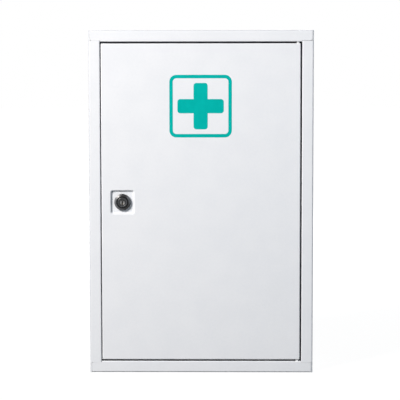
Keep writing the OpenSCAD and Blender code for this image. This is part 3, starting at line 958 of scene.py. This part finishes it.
def finish_frame_nodes():
    """Puts each node's finish on its own mesh."""
    for part in frame["record"]["subparts"]:
        name = part["node"]
        wear(frame["nodes"][name], part["material_slot"], WELDED.get(name))


# ---------------------------------------------------------------- camera
CAMERA_DISTANCE = 2.2        # from the front of the cabinet
CAMERA_X = 0.0292
CAMERA_Z = 0.1917
CAMERA_YAW = math.radians(0.80)      # to the left
CAMERA_PITCH = math.radians(4.884)   # downwards
CAMERA_ROLL = math.radians(-0.07)
FOCAL_PX = 1649.0            # focal length in pixels of the 400-pixel photograph
PHOTO_PX = 400
SENSOR_MM = 36.0


def make_camera():
    """Camera at the photograph's angle."""
    data = bpy.data.cameras.new("photo_camera")
    data.sensor_width = SENSOR_MM
    data.lens = FOCAL_PX / PHOTO_PX * SENSOR_MM
    data.clip_start = 0.05
    data.clip_end = 60
    camera = bpy.data.objects.new("photo_camera", data)
    bpy.context.scene.collection.objects.link(camera)
    camera.location = (CAMERA_X, FRONT_Y - CAMERA_DISTANCE, CAMERA_Z)
    turn = Matrix.Rotation(CAMERA_YAW, 4, "Z")
    tilt = Matrix.Rotation(QUARTER_TURN - CAMERA_PITCH, 4, "X")
    roll = Matrix.Rotation(CAMERA_ROLL, 4, "Z")
    camera.rotation_euler = (turn @ tilt @ roll).to_euler()
    bpy.context.scene.camera = camera


# ---------------------------------------------------------------- light and floor
KEY_WHITE = (1.0, 0.966, 0.94)
SOFT_WHITE = (0.99, 0.995, 1.0)
LAMPS = (    # name, place, aim, side, watts and colour
    ("key_softbox", (-1.519, -1.8, 1.414), (LOCK_X, FRONT_Y, 0.8), 0.81, 99.5, KEY_WHITE),
    ("right_fill", (0.42, -1.1, 0.05), (0, FRONT_Y, 0), 0.5, 0.9, SKY_BLUE),
    ("side_softbox", (2.2, 0.4, 0.5), (0, 0, 0), 1.1, 17, SOFT_WHITE),
    ("rear_softbox", (0.7, 2.0, 1.1), (0, 0, 0), 0.9, 34, SOFT_WHITE),
)


def make_lamp(name, place, aim, side, watts, colour):
    """Square soft light."""
    data = bpy.data.lights.new(name, "AREA")
    data.shape = "RECTANGLE"
    data.size = data.size_y = side
    data.energy = watts
    data.color = colour
    lamp = bpy.data.objects.new(name, data)
    bpy.context.scene.collection.objects.link(lamp)
    lamp.location = place
    lamp.rotation_euler = (Vector(aim) - Vector(place)).to_track_quat("-Z", "Y").to_euler()


def seen_directly(tree):
    """1 for rays from the camera and for those that gloss and glass send on."""
    path = tree.nodes.new("ShaderNodeLightPath").outputs
    seen = calc(tree, "MAXIMUM", path["Is Camera Ray"], path["Is Glossy Ray"])
    return calc(tree, "MAXIMUM", seen, path["Is Transmission Ray"])


def make_world():
    """White where it is seen directly or in gloss, and an even dim sky for everything else."""
    world = bpy.data.worlds.new("white_studio")
    bpy.context.scene.world = world
    world.use_nodes = True
    tree = world.node_tree
    tree.nodes.clear()
    sky = add_node(tree, "Background", Color=(*SKY_BLUE, 1), Strength=0.10)
    white = add_node(tree, "Background", Color=(1, 1, 1, 1), Strength=1.0)
    mix = tree.nodes.new("ShaderNodeMixShader")
    tree.links.new(seen_directly(tree), mix.inputs["Fac"])
    tree.links.new(sky.outputs[0], mix.inputs[1])
    tree.links.new(white.outputs[0], mix.inputs[2])
    output = tree.nodes.new("ShaderNodeOutputWorld")
    tree.links.new(mix.outputs[0], output.inputs["Surface"])


FLOOR_RADIUS = 12


def make_floor():
    """Pale floor that reads as white paper where it is seen, and still takes a shadow."""
    start_fresh()
    bpy.ops.mesh.primitive_circle_add(
        vertices=96, radius=FLOOR_RADIUS, fill_type="NGON", location=(0, 0, FLOOR_Z)
    )
    floor = settle(bpy.context.object)
    floor.name = "studio_floor"
    material, tree, shader = new_finish("white_paper")
    fibre = noise(tree, object_place(tree), 90.0, 4.0)
    paper = tint(tree, fibre, (0.095, 0.095, 0.095, 1), (0.105, 0.105, 0.105, 1))
    tree.links.new(paper, shader.inputs["Base Color"])
    shader.inputs["Roughness"].default_value = 0.9
    shader.inputs["Specular IOR Level"].default_value = 0.0
    shader.inputs["Emission Color"].default_value = (1, 1, 1, 1)
    reach = tree.nodes.new("ShaderNodeVectorMath")
    reach.operation = "LENGTH"
    tree.links.new(object_place(tree), reach.inputs[0])
    glow = ramp(tree, reach.outputs["Value"], 0.6, 2.2, 0.93, 1.0)
    glow = calc(tree, "MULTIPLY", seen_directly(tree), glow)
    tree.links.new(glow, shader.inputs["Emission Strength"])
    floor.data.materials.append(material)


bpy.context.scene.view_settings.view_transform = "Standard"
finish_frame_nodes()
make_door()
make_sign()
make_lock_case()
make_plug_face()
make_plug_core()
make_camera()
make_world()
for lamp in LAMPS:
    make_lamp(*lamp)
make_floor()
start_fresh()
